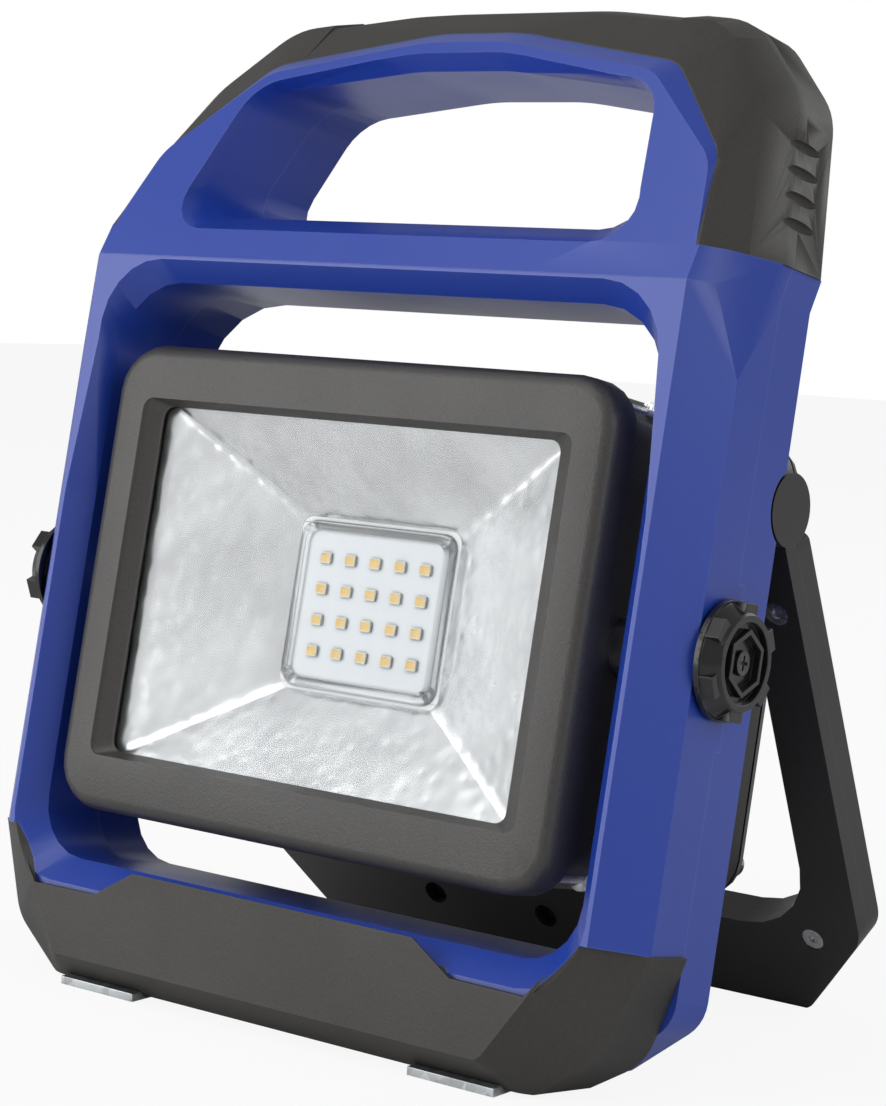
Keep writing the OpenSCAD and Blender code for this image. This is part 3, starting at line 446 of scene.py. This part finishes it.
# ---- Screws, pins and washers of the frame ----
# Zinc-plated steel fasteners, the nylon bushes of the tilt axis, and the fibre washers
# that hold the stand where it is set.
steel = plated("zinc_plated_steel", (0.62, 0.62, 0.64), 0.28, 900, 0.08)
nylon = moulded(
    "white_nylon",
    colour=(0.78, 0.78, 0.73),
    worn=(0.85, 0.85, 0.82),
    rough=0.42,
    scale=900,
    height=0.05,
    mottle=0.04,
)
fibre = moulded(
    "black_fibre",
    colour=(0.03, 0.03, 0.03),
    worn=(0.06, 0.06, 0.06),
    rough=0.8,
    scale=1800,
    height=0.6,
    mottle=0.4,
)
for node in ("shell_screws", "knob_washers", "stand_pivot_pins"):
    finished_copy(node, node + "_plated", steel, edge=0.00015, crease=40)
finished_copy("tilt_bushes", "nylon_bushes", nylon, edge=0.0002, crease=40)
finished_copy("stand_friction_washers", "fibre_washers", fibre, edge=0.0001, crease=40)

# ---- Lamp housing and bezel ----
# Die-cast aluminium under a coarse charcoal powder coat, with tiny bright flecks. The
# bezel is screwed to the front of the finned housing.
powder_coat = moulded(
    "charcoal_powder_coat",
    colour=(0.05, 0.047, 0.045),
    worn=(0.09, 0.086, 0.083),
    rough=0.42,
    scale=2200,
    height=0.8,
    spread=0.15,
    mottle=0.5,
    amount=0.4,
)
finished_copy("front_bezel", "bezel", powder_coat, edge=0.0018, steps=4, crease=50)
finished_copy("head_housing", "housing", powder_coat, edge=0.0005)
for node in ("bezel_screws", "head_trunnions", "rear_cover_screws", "led_board_screws", "charge_port_pin"):
    finished_copy(node, node + "_plated", steel, edge=0.00012, crease=40)

# ---- Rear cover, battery bay and control board ----
# Black moulded cover on a silicone gasket, with the battery cells, the boards, the power
# switch under its red button, and the charging socket behind a rubber flap.
black_plastic = moulded(
    "black_textured_plastic",
    colour=(0.018, 0.018, 0.019),
    worn=(0.05, 0.05, 0.05),
    rough=0.45,
    scale=1800,
    height=0.4,
    mottle=0.3,
)
silicone = moulded(
    "black_silicone",
    colour=(0.018, 0.018, 0.018),
    worn=(0.03, 0.03, 0.03),
    rough=0.5,
    scale=1200,
    height=0.1,
    mottle=0.15,
)
sleeve = moulded(
    "cell_sleeve",
    colour=(0.04, 0.2, 0.4),
    worn=(0.1, 0.3, 0.5),
    rough=0.3,
    scale=400,
    height=0.08,
    mottle=0.08,
)
board_green = moulded(
    "green_board",
    colour=(0.02, 0.16, 0.07),
    worn=(0.2, 0.16, 0.08),
    rough=0.35,
    scale=700,
    height=0.2,
    mottle=0.3,
)
red_rubber = moulded(
    "red_button_rubber",
    colour=(0.45, 0.025, 0.02),
    worn=(0.6, 0.1, 0.08),
    rough=0.5,
    scale=1500,
    height=0.2,
    mottle=0.12,
)
for node in ("rear_cover", "cell_holder", "power_switch", "charge_socket"):
    finished_copy(node, node + "_moulded", black_plastic, edge=0.0003)
for node in ("glass_gasket", "rear_cover_gasket"):
    finished_copy(node, node + "_soft", silicone, edge=0.0002)
finished_copy("battery_cells", "sleeved_cells", sleeve, edge=0.0004, crease=40)
for node in ("driver_board", "control_board"):
    finished_copy(node, node + "_etched", board_green, edge=0.0001)
finished_copy("power_button", "button_cap", red_rubber, edge=0.0005)
finished_copy("charge_port_cover", "port_flap", rubber, edge=0.0003)

# ---- Reflector ----
# A funnel of bright hammered aluminium between the glass and the LED window. Its four
# sides slope in towards the window.
dull_metal, bright_metal = (0.38, 0.39, 0.4, 1), (0.74, 0.75, 0.76, 1)
smoothest, roughness_spread = 0.12, 0.22
reflector_metal = bpy.data.materials.new("hammered_aluminium")
reflector_metal.use_nodes = True
tree = reflector_metal.node_tree
shader = tree.nodes["Principled BSDF"]
shader.inputs["Metallic"].default_value = 1.0
place = tree.nodes.new("ShaderNodeTexCoord")
dents = tree.nodes.new("ShaderNodeTexVoronoi")
dents.feature = "SMOOTH_F1"
dents.inputs["Scale"].default_value = 260
join(tree, place.outputs["Object"], dents.inputs["Vector"])
hammer = tree.nodes.new("ShaderNodeBump")
hammer.inputs["Strength"].default_value = 0.35
hammer.inputs["Distance"].default_value = 0.0006
join(tree, dents.outputs["Distance"], hammer.inputs["Height"])
join(tree, hammer.outputs["Normal"], shader.inputs["Normal"])
haze = tree.nodes.new("ShaderNodeMix")
haze.data_type = "RGBA"
haze.inputs["A"].default_value = dull_metal
haze.inputs["B"].default_value = bright_metal
join(tree, noise(tree, 45.0, 5.0), haze.inputs["Factor"])
join(tree, haze.outputs["Result"], shader.inputs["Base Color"])
uneven = maths(tree, "MULTIPLY", noise(tree, 80.0, 3.0), roughness_spread)
join(tree, maths(tree, "ADD", uneven, smoothest), shader.inputs["Roughness"])
finished_copy("reflector", "reflector_funnel", reflector_metal, edge=0.0003, crease=50)

# ---- LED board, LEDs and their window ----
# A white board with twenty small packages in rows, each a pale case with a yellow
# phosphor face, under a thin moulded window of clear plastic.
white_mask = moulded(
    "white_solder_mask",
    colour=(0.82, 0.83, 0.84),
    worn=(0.9, 0.9, 0.9),
    rough=0.3,
    scale=500,
    height=0.06,
    mottle=0.03,
)
finished_copy("led_board", "led_board_white", white_mask, edge=0.0001)
phosphor = moulded(
    "yellow_phosphor",
    colour=(0.9, 0.58, 0.16),
    worn=(0.95, 0.8, 0.5),
    rough=0.35,
    scale=2500,
    height=0.15,
    mottle=0.12,
)
package = moulded(
    "led_package",
    colour=(0.86, 0.85, 0.8),
    worn=(0.9, 0.9, 0.88),
    rough=0.4,
    scale=2000,
    height=0.05,
    mottle=0.05,
)
chips = finished_copy("led_chips", "led_packages", package, edge=0.00008, crease=40)
chips.data.materials.append(phosphor)
front = upright @ Vector((0, -1, 0))
work_on(chips)
bpy.ops.object.mode_set(mode="EDIT")
bpy.ops.mesh.select_all(action="DESELECT")
bpy.ops.object.mode_set(mode="OBJECT")
smallest_face, nearly_square = 0.000003, 0.99
phosphor_margin, phosphor_dip = 0.00015, 0.0001
for face in chips.data.polygons:
    face.select = face.normal.dot(front) > nearly_square and face.area > smallest_face
bpy.ops.object.mode_set(mode="EDIT")
bpy.ops.mesh.inset(thickness=phosphor_margin, depth=-phosphor_dip, use_individual=False)
chips.active_material_index = 1
bpy.ops.object.material_slot_assign()
bpy.ops.object.mode_set(mode="OBJECT")


# The index is lower than that of real glass, about 1.5, so that the front lamp doesn't
# whiten the face and hide the reflector.
clear_index = 1.14


def clear(name, tint, rough, passed_light):
    """Clear glass or plastic that lets light through to what is behind it."""
    material = bpy.data.materials.new(name)
    material.use_nodes = True
    tree = material.node_tree
    shader = tree.nodes["Principled BSDF"]
    shader.inputs["Base Color"].default_value = (*tint, 1)
    shader.inputs["Transmission Weight"].default_value = 1.0
    shader.inputs["IOR"].default_value = clear_index
    smear = tree.nodes.new("ShaderNodeGroup")
    smear.node_tree = grain
    for label, value in {"Scale": 60, "Height": 0.0, "Roughness": rough, "Spread": rough}.items():
        smear.inputs[label].default_value = value
    join(tree, smear.outputs["Roughness"], shader.inputs["Roughness"])
    through = tree.nodes.new("ShaderNodeBsdfTransparent")
    through.inputs["Color"].default_value = (*[c * passed_light for c in tint], 1)
    rays = tree.nodes.new("ShaderNodeLightPath")
    soft = maths(tree, "MAXIMUM", rays.outputs["Is Shadow Ray"], rays.outputs["Is Diffuse Ray"])
    blend = tree.nodes.new("ShaderNodeMixShader")
    join(tree, soft, blend.inputs["Fac"])
    join(tree, shader.outputs["BSDF"], blend.inputs[1])
    join(tree, through.outputs["BSDF"], blend.inputs[2])
    join(tree, blend.outputs["Shader"], tree.nodes["Material Output"].inputs["Surface"])
    return material


window_plastic = clear("moulded_window", (0.96, 0.97, 0.98), 0.06, 0.97)
finished_copy("led_window", "led_window_clear", window_plastic, edge=0.0003, crease=45)

# ---- Front glass ----
# Clear tempered glass, flat and with polished edges. It lies in the bezel on its silicone
# gasket.
tempered = clear("tempered_glass", (0.985, 0.99, 0.99), 0.01, 0.99)
finished_copy("glass_lens", "front_glass", tempered, edge=0.0003, crease=45)

# ---- Side knobs ----
# Glossy black moulded knobs that clamp the tilt, each with six notches round its rim, a
# raised six-sided ring, a steel stud and a recessed screw.
gloss_black = moulded(
    "gloss_black_plastic",
    colour=(0.012, 0.012, 0.013),
    worn=(0.06, 0.06, 0.06),
    rough=0.2,
    scale=1500,
    height=0.04,
    spread=0.15,
    mottle=0.2,
)
dark_screw = plated("blackened_steel", (0.12, 0.12, 0.125), 0.32, 900, 0.1)
for side in ("right", "left"):
    finished_copy(f"{side}_knob", f"{side}_knob_moulded", gloss_black, edge=0.0004, steps=3)
    finished_copy(f"{side}_knob_stud", f"{side}_stud", steel, edge=0.0001, crease=40)
    finished_copy(f"{side}_knob_screw", f"{side}_screw", dark_screw, edge=0.0001, crease=30)

# ---- Rear stand ----
# A hollow U-shaped stand of black moulded plastic in two parts, screwed together, that
# turns on the pins in the frame.
stand_black = moulded(
    "satin_black_plastic",
    colour=(0.024, 0.021, 0.021),
    worn=(0.07, 0.065, 0.062),
    rough=0.4,
    scale=2000,
    height=0.3,
    mottle=0.3,
    amount=0.5,
)
finished_copy("stand_front_plate", "stand_front", stand_black, edge=0.0005)
finished_copy("stand_rear_shell", "stand_rear", stand_black, edge=0.0005)
finished_copy("stand_screws", "stand_screws_plated", steel, edge=0.0001, crease=40)
